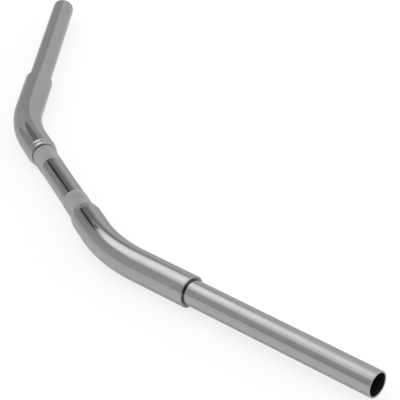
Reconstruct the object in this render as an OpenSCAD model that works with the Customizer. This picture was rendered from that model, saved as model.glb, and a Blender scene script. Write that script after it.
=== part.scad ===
// Chromed drag bar for a motorcycle. One open-ended steel tube bends back on each side of a
// knurled clamp section, and a thick sleeve covers each bend.
// Sizes are in millimetres. +X runs across the width, +Y points forward and +Z up, and the grips
// sweep back towards -Y. The origin is on the tube's axis, midway between the knurled bands.

/* [Tube] */
// Outside diameter of the tube
tube_d = 25.4; // [20:0.1:32]
// Wall thickness of the tube
tube_wall = 1.65; // [1.3:0.05:3]
// Rounding of the inner and outer edge at each open end
rim_r = 0.5; // [0.2:0.05:0.6]

/* [Bar shape] */
// Length of the straight centre, from bend to bend
centre_l = 200; // [184:1:300]
// Radius of each bend, measured to the tube's axis
bend_r = 165; // [90:1:240]
// Angle that each side sweeps back
bend_angle = 26; // [5:1:40]
// Amount that bending draws each face of a wall inwards
bend_draw = 0.02; // [0.01:0.01:0.1]
// Length of bare tube beyond each sleeve, for the grip and the controls
grip_l = 210; // [120:1:300]

/* [Clamp section] */
// Space between the two sleeves
clamp_l = 132; // [100:1:170]
// Length of the polished gap between the two knurled bands
polished_l = 72; // [40:1:88]
// Height of the knurl above the tube
knurl_rise = 0.2; // [0.05:0.05:0.4]
// Plain strip between each knurled band and its sleeve
knurl_margin = 0.6; // [0.2:0.1:4]

/* [Sleeves] */
// Wall thickness of the sleeves
sleeve_wall = 3.05; // [2:0.05:5]
// Clearance between the tube and each sleeve, on the radius
sleeve_clearance = 0.125; // [0.05:0.005:0.3]
// Depth of the seat that is turned on the tube under each sleeve
seat_depth = 0.2; // [0.05:0.05:0.3]
// Length of each sleeve beyond its bend
sleeve_tail_l = 68; // [20:1:120]
// Length of each of the two tapered steps at the sleeve's end next to the knurl
step_l = 2.8; // [1:0.1:4]
// Length of the plain ring between those two steps
ring_l = 2.2; // [1:0.1:4]
// Share of the sleeve's wall that each step takes off
step_share = 0.2; // [0.1:0.01:0.25]
// Share of the wall that stays flat at the tip, inside its rounding
tip_share = 0.3; // [0.1:0.05:0.4]
// Bevel on the square end next to the grip
tail_bevel = 0.8; // [0.2:0.1:1.2]

/* [Hidden] */

// Points around each round section, around a rounded edge and around a full turn of the bends
round_fn = 96;
edge_fn = 48;
bend_fn = 360;

tube_bore_r = tube_d / 2 - tube_wall;
seat_wall = tube_wall - seat_depth;
sleeve_bore_r = tube_d / 2 + sleeve_clearance;
sleeve_r = sleeve_bore_r + sleeve_wall;

// Straight parts taper into the bends over this length
bend_lap = 0.5;

// The bands fill the clamp section between the polished gap and the sleeves
knurl_l = (clamp_l - polished_l) / 2 - knurl_margin;
sleeve_inner_l = (centre_l - clamp_l) / 2;
side_l = sleeve_tail_l + grip_l;

// Stepped nose of each sleeve; its steps are shortened where the sleeve has no room for them
step_drop = step_share * sleeve_wall;
tip_flat = tip_share * sleeve_wall;
tip_r = sleeve_wall - 2 * step_drop - tip_flat;
nose_fit = min(1, (sleeve_inner_l - bend_lap - tip_r) / (2 * step_l + ring_l));
step_fit_l = step_l * nose_fit;
ring_fit_l = ring_l * nose_fit;

// Turns a profile about the X axis; its x is the radius and its y runs along +X
module turned_along_x() {
    rotate([0, 90, 0])
        rotate_extrude($fn = round_fn)
            children();
}

// Wall of a straight pipe between two points along its axis
module wall_profile(bore_r, wall, start, end) {
    translate([bore_r, start])
        square([wall, end - start]);
}

// Taper of that wall into a bend, whose own wall is drawn in by half as much
module lap_profile(bore_r, wall) {
    polygon([
        [bore_r, 0],
        [bore_r + wall, 0],
        [bore_r + wall - 2 * bend_draw, bend_lap],
        [bore_r + 2 * bend_draw, bend_lap]
    ]);
}

// Bend of a pipe on the +X side
module bend(bore_r, wall) {
    translate([centre_l / 2, -bend_r, 0])
        rotate([0, 0, 90 - bend_angle])
            rotate_extrude(angle = bend_angle, $fn = bend_fn)
                translate([bend_r, 0])
                    difference() {
                        circle(r = bore_r + wall - bend_draw, $fn = round_fn);
                        circle(r = bore_r + bend_draw, $fn = round_fn);
                    }
}

// Places a child at the end of that bend, with +X along the grip
module past_bend() {
    translate([centre_l / 2, -bend_r, 0])
        rotate([0, 0, -bend_angle])
            translate([0, bend_r, 0])
                children();
}

// Straight side of the tube: its seat under the sleeve, then the bare grip with a rounded open end
module side_profile() {
    mirror([0, 1])
        lap_profile(tube_bore_r, seat_wall);
    wall_profile(tube_bore_r, seat_wall, 0, sleeve_tail_l);
    wall_profile(tube_bore_r, tube_wall, sleeve_tail_l, side_l - rim_r);
    wall_profile(tube_bore_r + rim_r, tube_wall - 2 * rim_r, side_l - rim_r, side_l);
    for (rim_centre = [tube_bore_r + rim_r, tube_d / 2 - rim_r])
        translate([rim_centre, side_l - rim_r])
            circle(r = rim_r, $fn = edge_fn);
}

// Straight centre of the tube: two knurled bands standing slightly proud, and a seat on each side
module centre_profile() {
    wall_profile(tube_bore_r, tube_wall, -clamp_l / 2, clamp_l / 2);
    for (side = [0, 1])
        mirror([0, side]) {
            wall_profile(tube_bore_r, tube_wall + knurl_rise, polished_l / 2, polished_l / 2 + knurl_l);
            wall_profile(tube_bore_r, seat_wall, clamp_l / 2, centre_l / 2);
            translate([0, centre_l / 2])
                lap_profile(tube_bore_r, seat_wall);
        }
}

// Straight part of a sleeve next to the knurl: a rounded tip, then two tapered steps with a ring between
module nose_profile() {
    translate([0, sleeve_inner_l])
        lap_profile(sleeve_bore_r, sleeve_wall);
    polygon([
        [sleeve_bore_r, tip_r],
        [sleeve_r - 2 * step_drop, tip_r],
        [sleeve_r - step_drop, tip_r + step_fit_l],
        [sleeve_r - step_drop, tip_r + step_fit_l + ring_fit_l],
        [sleeve_r, tip_r + 2 * step_fit_l + ring_fit_l],
        [sleeve_r, sleeve_inner_l],
        [sleeve_bore_r, sleeve_inner_l]
    ]);
    tip_profile();
}

// Tip of that nose, with its outer edge rounded over
module tip_profile() {
    wall_profile(sleeve_bore_r, tip_flat, 0, tip_r);
    intersection() {
        translate([sleeve_bore_r + tip_flat, 0])
            square(tip_r);
        translate([sleeve_bore_r + tip_flat, tip_r])
            circle(r = tip_r, $fn = edge_fn);
    }
}

// Straight part of a sleeve beyond the bend, cut square with a small bevel
module tail_profile() {
    mirror([0, 1])
        lap_profile(sleeve_bore_r, sleeve_wall);
    polygon([
        [sleeve_bore_r, 0],
        [sleeve_r, 0],
        [sleeve_r, sleeve_tail_l - tail_bevel],
        [sleeve_r - tail_bevel, sleeve_tail_l],
        [sleeve_bore_r, sleeve_tail_l]
    ]);
}

// One side of the tube, from the bend outwards
module tube_side() {
    bend(tube_bore_r, seat_wall);
    past_bend()
        turned_along_x()
            side_profile();
}

// The sleeve over the bend on the +X side
module sleeve() {
    translate([clamp_l / 2, 0, 0])
        turned_along_x()
            nose_profile();
    bend(sleeve_bore_r, sleeve_wall);
    past_bend()
        turned_along_x()
            tail_profile();
}

// The bent through-tube
module bar_tube() {
    color("silver")
        union() {
            turned_along_x()
                centre_profile();
            tube_side();
            mirror([1, 0, 0])
                tube_side();
        }
}

module right_sleeve() {
    color("lightgray")
        sleeve();
}

module left_sleeve() {
    color("lightgray")
        mirror([1, 0, 0])
            sleeve();
}

bar_tube();
left_sleeve();
right_sleeve();
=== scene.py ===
"""Looks of a chromed drag handlebar that lies on a plain pale floor.

Each CAD node is replaced by a finer skin of the same size, which also has the knurl's diamonds.
"""

import math

import bpy
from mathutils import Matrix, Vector


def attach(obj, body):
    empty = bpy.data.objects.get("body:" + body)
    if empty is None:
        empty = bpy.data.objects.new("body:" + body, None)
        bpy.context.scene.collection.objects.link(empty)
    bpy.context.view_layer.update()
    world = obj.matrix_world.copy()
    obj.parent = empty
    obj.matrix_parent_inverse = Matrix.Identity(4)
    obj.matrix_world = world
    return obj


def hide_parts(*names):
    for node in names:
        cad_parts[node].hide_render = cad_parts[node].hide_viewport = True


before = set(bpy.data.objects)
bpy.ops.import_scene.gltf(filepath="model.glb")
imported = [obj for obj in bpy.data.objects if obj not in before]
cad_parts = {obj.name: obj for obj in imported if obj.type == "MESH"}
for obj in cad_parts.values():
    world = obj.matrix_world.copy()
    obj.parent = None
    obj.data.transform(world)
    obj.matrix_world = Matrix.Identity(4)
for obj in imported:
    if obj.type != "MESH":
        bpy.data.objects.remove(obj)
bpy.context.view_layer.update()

# Sizes of the bar, in metres and radians
TUBE_R = 0.0127
BORE_R = 0.01105
RIM_R = 0.0005
SEAT_R = 0.0125
CENTRE_L = 0.200
BEND_R = 0.165
BEND_ANGLE = math.radians(26)
GRIP_L = 0.210
CLAMP_L = 0.132
POLISHED_L = 0.072
KNURL_L = 0.0294
KNURL_R = 0.0129
SLEEVE_R = 0.015875
SLEEVE_BORE_R = 0.012825
SLEEVE_TAIL_L = 0.068
STEP_L = 0.0028
RING_L = 0.0022
STEP_DROP = 0.00061
TIP_R = 0.000915
TAIL_R = 0.001

# Distances along the bar's axis, from its middle
BEND_START = CENTRE_L / 2
BEND_END = BEND_START + BEND_R * BEND_ANGLE
SLEEVE_START = CLAMP_L / 2
SLEEVE_END = BEND_END + SLEEVE_TAIL_L
SIDE_L = SLEEVE_END + GRIP_L

# How finely the skins are built. The knurl's lattice shares its columns with the plain rings.
AROUND = 144
BEND_STEPS = 32
EDGE_STEPS = 8
SUPPORT = 0.0006
SHARP_ANGLE = math.radians(30)

# Diamond knurl: rows of half diamonds, depth of the grooves and size of the flat tops
KNURL_ROWS = 30
GROOVE_DEPTH = 0.00034
TOP_SHARE = 0.36

# How much of a tapered step blends softly into what lies beside it
STEP_SOFTNESS = 0.7

# Material slots of each piece: polished chrome, the knurled metal or the sleeves' darker end
# faces, and the bare bore
CHROME_SLOT, KNURL_OR_END_SLOT, BARE_SLOT = range(3)

# Share of its usual gloss that every metal keeps near a grazing angle
EDGE_TINT = 0.70

# Every metal varies in large soft clouds and in a fine grain. A range is of the noise's value.
CLOUD_SCALE, CLOUD_DETAIL, CLOUD_ROUGHNESS = 55.0, 4.0, 0.5
GRAIN_SCALE, GRAIN_DETAIL, GRAIN_ROUGHNESS = 900.0, 3.0, 0.6
TINT_RANGE = (0.35, 0.7)
GLOSS_RANGE = (0.4, 0.75)
DARKEST_TINT = 0.94
CLOUD_SHARE, GRAIN_SHARE = 0.6, 0.4
GRAIN_DEPTH = 0.00002

# Ramps below are written as their two ends and, where these aren't 0 and 1, their two levels.

# Floor, in metres. Facing is 0 where it is seen from straight above and 1 at a grazing angle.
FLOOR_Z = -SLEEVE_R
FLOOR_R = 14.0
FLOOR_CORNERS = 96
FLOOR_COLOUR = 0.28
FLOOR_GLOW = 0.775
# Painted reflection in the floor's glow as the metal sees it: darker towards the walls at a
# grazing angle
GRAZING_FACING = (0.64, 0.97)
GRAZING_BY_X = (-0.1, 0.1, 0.3, 1.0)
GRAZING_PAINTED_REFLECTION = 0.38
ASIDE_X = (0.2, 0.35)
ASIDE_Y = (0.0, 0.12)
ASIDE_SHARE = 0.6
# Painted shade in the floor's glow as the metal sees it: ahead of the bar, and a painted shadow
# straight beneath it
FRONT_SLOPE = 0.49
FRONT_EDGE = (0.025, 0.07)
FRONT_PAINTED_SHADE = 0.1
BENEATH_PAINTED_SHADOW = (0.32, 0.16, 0, 0.11)

# Room that the metal reflects, in degrees: azimuth from +X towards +Y, and height above the
# horizon. The camera looks towards +X, so the left is at the higher azimuths.
PLAIN_LEVEL = 0.84
LEFT_WALL = (20, 60, 0.47, 0.60)
LEFT_WALL_FALL = (78, 92, 1.0, 0.8)
LEFT_WALL_END = (120, 179)
LEFT_CORNER = (22, 24.5)
MIDDLE_WALL = (-18, 15, 0.58, 0.65)
RIGHT_CORNER = (-26, -22.5)
SWEEP_HEIGHT = (8, -3)
SWEEP_AZIMUTH = (32, 42)

# Dim part of the room: its middle, the cosines from there that it ends and is full at, its level
DIM_WAY = (-0.836, 0.224, 0.5)
DIM_COSINE = (0.78, 0.92)
DIM_LEVEL = 0.2

# Unlit gap above the middle wall: height of its lower edge by azimuth, its sides and its level
GAP_EDGE = (-10, 6, 31, 26.7)
GAP_EDGE_DROP = (18, 23, 0, 3)
GAP_EDGE_BLUR = (-1, 1.5)
GAP_RIGHT = (-22, -16)
GAP_LEFT = (26, 23)
GAP_LEVEL = (-16, 0, 0.38, 0.29)

# Black slot that curves up through the gap, and a short black dash above it
SLOT_AZIMUTH = 15.8
SLOT_CURVE = 0.2
SLOT_CURVE_HEIGHT = 31.5
SLOT_HALF_WIDTH = (28, 33, 1.1, 4.3)
SLOT_BLUR = (0.5, -0.5)
SLOT_TOP = (37, 36)
DASH_AZIMUTH, DASH_HEIGHT = 8, 38.3
DASH_SIDES = (4.4, 3.2)
DASH_EDGES = (1.2, 0.6)
BLACK_LEVEL = 0.03

# Pale ceiling, whose edge rises to either side, and the large soft light in it
CEILING_EDGE = (34.5, 44)
CEILING_RISE_LEFT = (32, 52, 0, 6)
CEILING_RISE_RIGHT = (-4, -20, 0, 2)
CEILING_LEVEL = (-20, 40, 0.96, 1.12)
LIGHT_RIGHT = (-24, 8)
LIGHT_LEFT = (62, 24)
LIGHT_TOP = (78, 50)
LIGHT_LEVEL = 0.66

# Camera, as fitted to the photograph. Its lens and sensor are in millimetres.
CAMERA_PLACE = (-1.33616, 0.40314, 0.80667)
CAMERA_AIM = (-0.0832, -0.1171, 0.0)
CAMERA_LENS = 140.61
CAMERA_SENSOR = 36
CAMERA_CLIP = 0.05


def bar_point(s):
    """Place and direction of the bar's axis at a signed distance along it from the middle."""
    side = -1.0 if s < 0 else 1.0
    s = abs(s)
    turn = min(max(s - BEND_START, 0.0) / BEND_R, BEND_ANGLE)
    before = min(s, BEND_START)
    beyond = max(s - BEND_END, 0.0)
    x = before + BEND_R * math.sin(turn) + beyond * math.cos(turn)
    y = -BEND_R * (1 - math.cos(turn)) - beyond * math.sin(turn)
    along = Vector((math.cos(turn), -side * math.sin(turn), 0))
    return Vector((side * x, y, 0)), along


def wall(start, end, radius):
    """Rings (distance, radius) of a plain wall, with those that the bar's bends need."""
    low, high = min(start, end), max(start, end)
    found = {low, low + SUPPORT, high - SUPPORT, high}
    bend_l = BEND_END - BEND_START
    bend = [BEND_START + bend_l * i / BEND_STEPS for i in range(BEND_STEPS + 1)]
    for s in (BEND_START - SUPPORT, *bend, BEND_END + SUPPORT):
        found.update((-s, s))
    inside = sorted((s for s in found if low <= s <= high), reverse=end < start)
    return [(s, radius) for s in inside]


def arc(centre_s, centre_r, radius, first, last):
    """Rings (distance, radius) of a rounded edge, from angle first to last in degrees."""
    rings = []
    for i in range(EDGE_STEPS + 1):
        a = math.radians(first + (last - first) * i / EDGE_STEPS)
        rings.append((centre_s + radius * math.cos(a), centre_r + radius * math.sin(a)))
    return rings


def soft_step(start_s, start_r, end_s, end_r):
    """Rings (distance, radius) of a tapered step that blends softly at both ends."""
    rings = []
    for i in range(EDGE_STEPS + 1):
        t = i / EDGE_STEPS
        eased = (1 - STEP_SOFTNESS) * t + STEP_SOFTNESS * t * t * (3 - 2 * t)
        rings.append((start_s + t * (end_s - start_s), start_r + eased * (end_r - start_r)))
    return rings


class Skin:
    """A closed skin that is built ring by ring along the bar."""

    def __init__(self):
        self.verts, self.faces, self.slots, self.smooth = [], [], [], []
        self.first = self.last = None

    def point(self, s, radius, column):
        """Adds a point. The columns run the way round that makes the faces look outwards."""
        centre, along = bar_point(s)
        a = 2 * math.pi * column / AROUND
        across = Vector((-along.y, along.x, 0))
        out = math.cos(a) * across - math.sin(a) * Vector((0, 0, 1))
        self.verts.append(centre + radius * out)
        return len(self.verts) - 1

    def face(self, corners, slot, smooth):
        self.faces.append(corners)
        self.slots.append(slot)
        self.smooth.append(smooth)

    def bridge(self, ring, slot):
        for i in range(AROUND):
            n = (i + 1) % AROUND
            self.face((self.last[i], ring[i], ring[n], self.last[n]), slot, True)
        self.last = ring

    def rings(self, line, slot=CHROME_SLOT):
        for s, radius in line:
            ring = [self.point(s, radius, i) for i in range(AROUND)]
            if self.last is None:
                self.first = self.last = ring
            else:
                self.bridge(ring, slot)

    def knurl(self, start, end):
        """Flat-topped diamonds from the last ring to a new plain one at the end.

        Places where the column and the row add up to an even number are the middles of
        diamonds, and the others are groove crossings.
        """
        pitch = (end - start) / KNURL_ROWS
        rows = [self.last]
        for j in range(1, KNURL_ROWS):
            row = {}
            for i in range(j % 2 + 1, AROUND + j % 2 + 1, 2):
                row[i % AROUND] = self.point(start + j * pitch, KNURL_R - GROOVE_DEPTH, i)
            rows.append(row)
        rows.append([self.point(end, TUBE_R, i) for i in range(AROUND)])
        for j in range(1, KNURL_ROWS):
            s = start + j * pitch
            for i in range(j % 2, AROUND, 2):
                left, right = (i - 1) % AROUND, (i + 1) % AROUND
                base = (rows[j - 1][i], rows[j][right], rows[j + 1][i], rows[j][left])
                top = (
                    self.point(s - TOP_SHARE * pitch, KNURL_R, i),
                    self.point(s, KNURL_R, i + TOP_SHARE),
                    self.point(s + TOP_SHARE * pitch, KNURL_R, i),
                    self.point(s, KNURL_R, i - TOP_SHARE),
                )
                self.face(tuple(reversed(top)), KNURL_OR_END_SLOT, False)
                for k in range(4):
                    m = (k + 1) % 4
                    self.face((base[k], top[k], top[m], base[m]), KNURL_OR_END_SLOT, False)
        # half diamonds are left over beside the two plain rings
        for j, inner in ((0, 1), (KNURL_ROWS, KNURL_ROWS - 1)):
            for i in range(j % 2, AROUND, 2):
                left, right = (i - 1) % AROUND, (i + 1) % AROUND
                for pair in ((left, i), (i, right)):
                    corners = [rows[j][pair[0]], rows[inner][i], rows[j][pair[1]]]
                    if j:
                        corners.reverse()
                    self.face(tuple(corners), KNURL_OR_END_SLOT, False)
        self.last = rows[-1]

    def piece(self, name, materials, closing_slot=CHROME_SLOT):
        """Closes the skin from its last ring to its first, and makes an object of it."""
        self.bridge(self.first, closing_slot)
        mesh = bpy.data.meshes.new(name)
        mesh.from_pydata(self.verts, [], self.faces)
        for material in materials:
            mesh.materials.append(material)
        mesh.polygons.foreach_set("material_index", self.slots)
        mesh.polygons.foreach_set("use_smooth", self.smooth)
        mesh.update()
        mesh.set_sharp_from_angle(angle=SHARP_ANGLE)
        made = bpy.data.objects.new(name, mesh)
        bpy.context.scene.collection.objects.link(made)
        return made


class Nodes:
    """Short ways to wire a node tree. Inputs are numbers, colours or other nodes' sockets."""

    def __init__(self, tree):
        self.tree = tree

    def add(self, kind, inputs=(), **settings):
        node = self.tree.nodes.new(kind)
        for name, value in settings.items():
            setattr(node, name, value)
        for key, value in dict(inputs).items():
            self.put(node.inputs[key], value)
        return node

    def put(self, socket, value):
        if isinstance(value, bpy.types.NodeSocket):
            self.tree.links.new(value, socket)
        else:
            socket.default_value = value

    def math(self, operation, a, b=0.0, c=0.0):
        return self.add("ShaderNodeMath", {0: a, 1: b, 2: c}, operation=operation).outputs[0]

    def product(self, first, *others):
        for other in others:
            first = self.math("MULTIPLY", first, other)
        return first

    def distance(self, a, b):
        return self.math("ABSOLUTE", self.math("SUBTRACT", a, b))

    def ramp(self, value, low, high, to_low=0.0, to_high=1.0):
        """Value taken from low..high to to_low..to_high, with soft ends."""
        node = self.add("ShaderNodeMapRange", {"Value": value}, interpolation_type="SMOOTHSTEP")
        ends = {"From Min": low, "From Max": high, "To Min": to_low, "To Max": to_high}
        for key, number in ends.items():
            node.inputs[key].default_value = number
        return node.outputs[0]

    def mix(self, share, a, b):
        inputs = {"Factor": share, 2: a, 3: b}
        return self.add("ShaderNodeMix", inputs, data_type="FLOAT").outputs[0]

    def mix_colour(self, share, a, b):
        inputs = {"Factor": share, 6: a, 7: b}
        return self.add("ShaderNodeMix", inputs, data_type="RGBA").outputs[2]

    def noise(self, scale, detail, roughness):
        coords = self.add("ShaderNodeTexCoord").outputs["Object"]
        inputs = {"Vector": coords, "Scale": scale, "Detail": detail, "Roughness": roughness}
        return self.add("ShaderNodeTexNoise", inputs).outputs[0]


def metal(name, colour, roughness, spread, bump):
    """A metal whose colour, roughness and surface vary slightly from place to place."""
    material = bpy.data.materials.new(name)
    material.use_nodes = True
    n = Nodes(material.node_tree)
    shader = material.node_tree.nodes["Principled BSDF"]
    shader.inputs["Metallic"].default_value = 1.0
    shader.inputs["Specular Tint"].default_value = (EDGE_TINT, EDGE_TINT, EDGE_TINT, 1)
    cloud = n.noise(CLOUD_SCALE, CLOUD_DETAIL, CLOUD_ROUGHNESS)
    grain = n.noise(GRAIN_SCALE, GRAIN_DETAIL, GRAIN_ROUGHNESS)
    darkest = [DARKEST_TINT * c for c in colour]
    tint = n.mix_colour(n.ramp(cloud, *TINT_RANGE), (*colour, 1.0), (*darkest, 1.0))
    n.put(shader.inputs["Base Color"], tint)
    clouded = n.ramp(cloud, *GLOSS_RANGE)
    rough = n.math("MULTIPLY_ADD", clouded, CLOUD_SHARE * spread, roughness)
    rough = n.math("MULTIPLY_ADD", grain, GRAIN_SHARE * spread, rough)
    n.put(shader.inputs["Roughness"], rough)
    height = {"Height": grain, "Strength": bump, "Distance": GRAIN_DEPTH}
    n.put(shader.inputs["Normal"], n.add("ShaderNodeBump", height).outputs[0])
    return material


def tube_piece(chrome, matte, bare):
    """The tube from end to end along its outside, then back through its bore."""
    rim_s = SIDE_L - RIM_R
    outer_rim_r, inner_rim_r = TUBE_R - RIM_R, BORE_R + RIM_R
    knurl_start = POLISHED_L / 2
    knurl_end = knurl_start + KNURL_L
    skin = Skin()
    skin.rings(arc(-rim_s, outer_rim_r, RIM_R, 180, 90))
    skin.rings(wall(-rim_s, -SLEEVE_END, TUBE_R)[1:])
    skin.rings(wall(-SLEEVE_END, -SLEEVE_START, SEAT_R))
    skin.rings(wall(-SLEEVE_START, -knurl_end, TUBE_R))
    skin.knurl(-knurl_end, -knurl_start)
    skin.rings(wall(-knurl_start, knurl_start, TUBE_R)[1:])
    skin.knurl(knurl_start, knurl_end)
    skin.rings(wall(knurl_end, SLEEVE_START, TUBE_R)[1:])
    skin.rings(wall(SLEEVE_START, SLEEVE_END, SEAT_R))
    skin.rings(wall(SLEEVE_END, rim_s, TUBE_R))
    skin.rings(arc(rim_s, outer_rim_r, RIM_R, 90, 0)[1:])
    skin.rings(arc(rim_s, inner_rim_r, RIM_R, 0, -90))
    skin.rings(wall(rim_s, -rim_s, BORE_R)[1:], BARE_SLOT)
    skin.rings(arc(-rim_s, inner_rim_r, RIM_R, -90, -180)[1:])
    return skin.piece("tube", (chrome, matte, bare))


def sleeve_piece(name, side, chrome, dark_end_face, bare):
    """One sleeve along its outside, then back through its bore.

    Both run along +X on the outside, so the left one starts at its square end.
    """
    tip_s = SLEEVE_START + TIP_R
    ring_s = tip_s + STEP_L
    shoulder_s = ring_s + RING_L
    main_s = shoulder_s + STEP_L
    tail_s = SLEEVE_END - TAIL_R
    tip_r = SLEEVE_R - 2 * STEP_DROP
    ring_r = SLEEVE_R - STEP_DROP
    outside = arc(tip_s, tip_r - TIP_R, TIP_R, 180, 90)
    outside += soft_step(tip_s, tip_r, ring_s, ring_r)[1:]
    outside += soft_step(shoulder_s, ring_r, main_s, SLEEVE_R)
    outside += wall(main_s, tail_s, SLEEVE_R)[1:]
    outside += arc(tail_s, SLEEVE_R - TAIL_R, TAIL_R, 90, 0)[1:]
    bore = wall(SLEEVE_END, SLEEVE_START, SLEEVE_BORE_R)
    end_slots = (KNURL_OR_END_SLOT, CHROME_SLOT)
    if side < 0:
        outside = [(-s, r) for s, r in reversed(outside)]
        bore = [(-s, r) for s, r in reversed(bore)]
        end_slots = (CHROME_SLOT, KNURL_OR_END_SLOT)
    skin = Skin()
    skin.rings(outside)
    skin.rings(bore[:1], end_slots[0])
    skin.rings(bore[1:], BARE_SLOT)
    return skin.piece(name, (chrome, dark_end_face, bare), end_slots[1])


def make_floor():
    """A wide round floor, whose glow shows only to the camera and in the metal, where painted
    shade and a painted reflection dim it.
    """
    angles = [2 * math.pi * i / FLOOR_CORNERS for i in range(FLOOR_CORNERS)]
    rim = [(FLOOR_R * math.cos(a), FLOOR_R * math.sin(a), FLOOR_Z) for a in angles]
    mesh = bpy.data.meshes.new("floor")
    mesh.from_pydata(rim, [], [tuple(range(FLOOR_CORNERS))])
    material = bpy.data.materials.new("floor")
    material.use_nodes = True
    n = Nodes(material.node_tree)
    shader = material.node_tree.nodes["Principled BSDF"]
    shader.inputs["Base Color"].default_value = (FLOOR_COLOUR, FLOOR_COLOUR, FLOOR_COLOUR, 1)
    shader.inputs["Roughness"].default_value = 1.0
    shader.inputs["Specular IOR Level"].default_value = 0.0
    shader.inputs["Emission Color"].default_value = (1, 1, 1, 1)
    rays = n.add("ShaderNodeLightPath").outputs
    mirrored = n.math("MAXIMUM", rays["Is Glossy Ray"], rays["Is Transmission Ray"])
    seen = n.math("MAXIMUM", rays["Is Camera Ray"], mirrored)

    # painted reflection: in the metal, the floor's glow fades towards the walls at a grazing
    # angle, as if the floor mirrored the darker walls there, less so at both ends of the bar and
    # ahead of it
    coords = n.add("ShaderNodeTexCoord").outputs["Object"]
    place = n.add("ShaderNodeSeparateXYZ", {0: coords}).outputs
    facing = n.add("ShaderNodeLayerWeight").outputs["Facing"]
    aside = n.math("MAXIMUM", n.ramp(place["X"], *ASIDE_X), n.ramp(place["Y"], *ASIDE_Y))
    grazing = n.product(
        n.ramp(facing, *GRAZING_FACING),
        n.ramp(place["X"], *GRAZING_BY_X),
        n.math("MULTIPLY_ADD", aside, -ASIDE_SHARE, 1.0),
    )

    # painted shade: it also fades a little ahead of the bar, whose bends this follows, and
    # painted shadow straight beneath it
    beyond = n.math("SUBTRACT", n.math("ABSOLUTE", place["X"]), BEND_START)
    beyond = n.math("MAXIMUM", beyond, 0.0)
    front = n.ramp(n.math("MULTIPLY_ADD", beyond, FRONT_SLOPE, place["Y"]), *FRONT_EDGE)
    painted_shade_and_reflection = n.math("MULTIPLY_ADD", grazing, GRAZING_PAINTED_REFLECTION, n.math("MULTIPLY", front, FRONT_PAINTED_SHADE))
    painted_shade_and_reflection = n.math("ADD", painted_shade_and_reflection, n.ramp(facing, *BENEATH_PAINTED_SHADOW))
    glow = n.math("MULTIPLY", seen, FLOOR_GLOW)
    glow = n.math("SUBTRACT", glow, n.math("MULTIPLY", painted_shade_and_reflection, mirrored))
    n.put(shader.inputs["Emission Strength"], glow)
    mesh.materials.append(material)
    floor = bpy.data.objects.new("floor", mesh)
    bpy.context.scene.collection.objects.link(floor)


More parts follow.
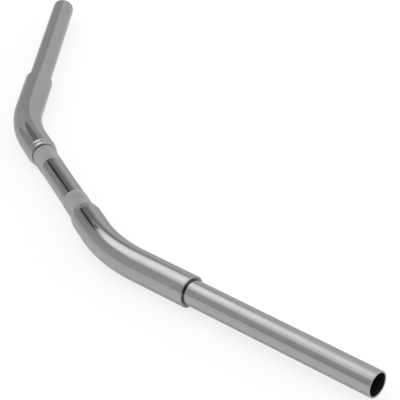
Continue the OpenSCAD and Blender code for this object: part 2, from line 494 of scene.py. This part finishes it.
def make_studio():
    """A plain room as radiance by direction. It is the only light."""
    world = bpy.data.worlds.new("studio")
    bpy.context.scene.world = world
    world.use_nodes = True
    n = Nodes(world.node_tree)
    coords = n.add("ShaderNodeTexCoord").outputs["Generated"]
    way = n.add("ShaderNodeSeparateXYZ", {0: coords}).outputs
    up = n.math("DEGREES", n.math("ARCSINE", way["Z"]))
    turn = n.math("DEGREES", n.math("ARCTAN2", way["Y"], way["X"]))

    # three walls that meet at soft corners, and a sweep where the left one meets the floor
    left = n.product(n.ramp(turn, *LEFT_WALL), n.ramp(turn, *LEFT_WALL_FALL))
    left = n.mix(n.ramp(turn, *LEFT_WALL_END), left, PLAIN_LEVEL)
    room = n.mix(n.ramp(turn, *LEFT_CORNER), n.ramp(turn, *MIDDLE_WALL), left)
    room = n.mix(n.ramp(turn, *RIGHT_CORNER), PLAIN_LEVEL, room)
    sweep = n.product(n.ramp(up, *SWEEP_HEIGHT), n.ramp(turn, *SWEEP_AZIMUTH))
    room = n.mix(sweep, room, PLAIN_LEVEL)

    # unlit gap above the middle wall
    low_edge = n.math("SUBTRACT", n.ramp(turn, *GAP_EDGE), n.ramp(turn, *GAP_EDGE_DROP))
    gap = n.product(
        n.ramp(n.math("SUBTRACT", up, low_edge), *GAP_EDGE_BLUR),
        n.ramp(turn, *GAP_RIGHT),
        n.ramp(turn, *GAP_LEFT),
    )
    room = n.mix(gap, room, n.ramp(turn, *GAP_LEVEL))

    # pale ceiling with one large soft light
    edge = n.math("ADD", n.ramp(turn, *CEILING_RISE_LEFT), n.ramp(turn, *CEILING_RISE_RIGHT))
    ceiling = n.ramp(n.math("SUBTRACT", up, edge), *CEILING_EDGE)
    light = n.product(
        n.ramp(turn, *LIGHT_RIGHT), n.ramp(turn, *LIGHT_LEFT), n.ramp(up, *LIGHT_TOP)
    )
    light = n.math("MULTIPLY_ADD", light, LIGHT_LEVEL, n.ramp(turn, *CEILING_LEVEL))
    room = n.mix(ceiling, room, light)

    # dim part of the room, behind the camera
    behind = n.math("MULTIPLY", way["X"], DIM_WAY[0])
    behind = n.math("MULTIPLY_ADD", way["Y"], DIM_WAY[1], behind)
    behind = n.math("MULTIPLY_ADD", way["Z"], DIM_WAY[2], behind)
    room = n.mix(n.ramp(behind, *DIM_COSINE), room, DIM_LEVEL)

    # black slot in the gap, and the dash at the ceiling's edge
    along = n.math("SUBTRACT", up, SLOT_CURVE_HEIGHT)
    middle = n.math("MULTIPLY_ADD", n.product(along, along), SLOT_CURVE, SLOT_AZIMUTH)
    outside = n.math("SUBTRACT", n.distance(turn, middle), n.ramp(up, *SLOT_HALF_WIDTH))
    slot = n.product(n.ramp(outside, *SLOT_BLUR), n.ramp(up, *SLOT_TOP), gap)
    dash = n.product(
        n.ramp(n.distance(turn, DASH_AZIMUTH), *DASH_SIDES),
        n.ramp(n.distance(up, DASH_HEIGHT), *DASH_EDGES),
    )
    room = n.mix(n.math("MAXIMUM", slot, dash), room, BLACK_LEVEL)
    background = world.node_tree.nodes["Background"]
    n.put(background.inputs["Color"], (1, 1, 1, 1))
    n.put(background.inputs["Strength"], room)


def make_camera():
    camera = bpy.data.objects.new("camera", bpy.data.cameras.new("camera"))
    bpy.context.scene.collection.objects.link(camera)
    camera.data.sensor_width = CAMERA_SENSOR
    camera.data.lens = CAMERA_LENS
    camera.data.clip_start = CAMERA_CLIP
    camera.location = CAMERA_PLACE
    towards = Vector(CAMERA_AIM) - camera.location
    camera.rotation_euler = towards.to_track_quat("-Z", "Y").to_euler()
    bpy.context.scene.camera = camera


bpy.context.scene.view_settings.view_transform = "Standard"
make_camera()
make_studio()
make_floor()

chrome = metal("chrome", (0.414, 0.423, 0.423), roughness=0.035, spread=0.03, bump=0.05)
matte = metal("knurled_chrome", (0.56, 0.57, 0.57), roughness=0.52, spread=0.10, bump=0.2)
bare = metal("bare_steel", (0.07, 0.07, 0.066), roughness=0.55, spread=0.2, bump=0.5)
# the sleeves' square end faces are a darker, less glossy metal than the chrome
dark_end_face = metal("dark_end_face_metal", (0.20, 0.20, 0.195), roughness=0.12, spread=0.1, bump=0.3)

tube = tube_piece(chrome, matte, bare)
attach(tube, "root")
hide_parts("bar_tube")
for name, node, side in (("sleeve_left", "left_sleeve", -1), ("sleeve_right", "right_sleeve", 1)):
    sleeve = sleeve_piece(name, side, chrome, dark_end_face, bare)
    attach(sleeve, "root")
    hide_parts(node)
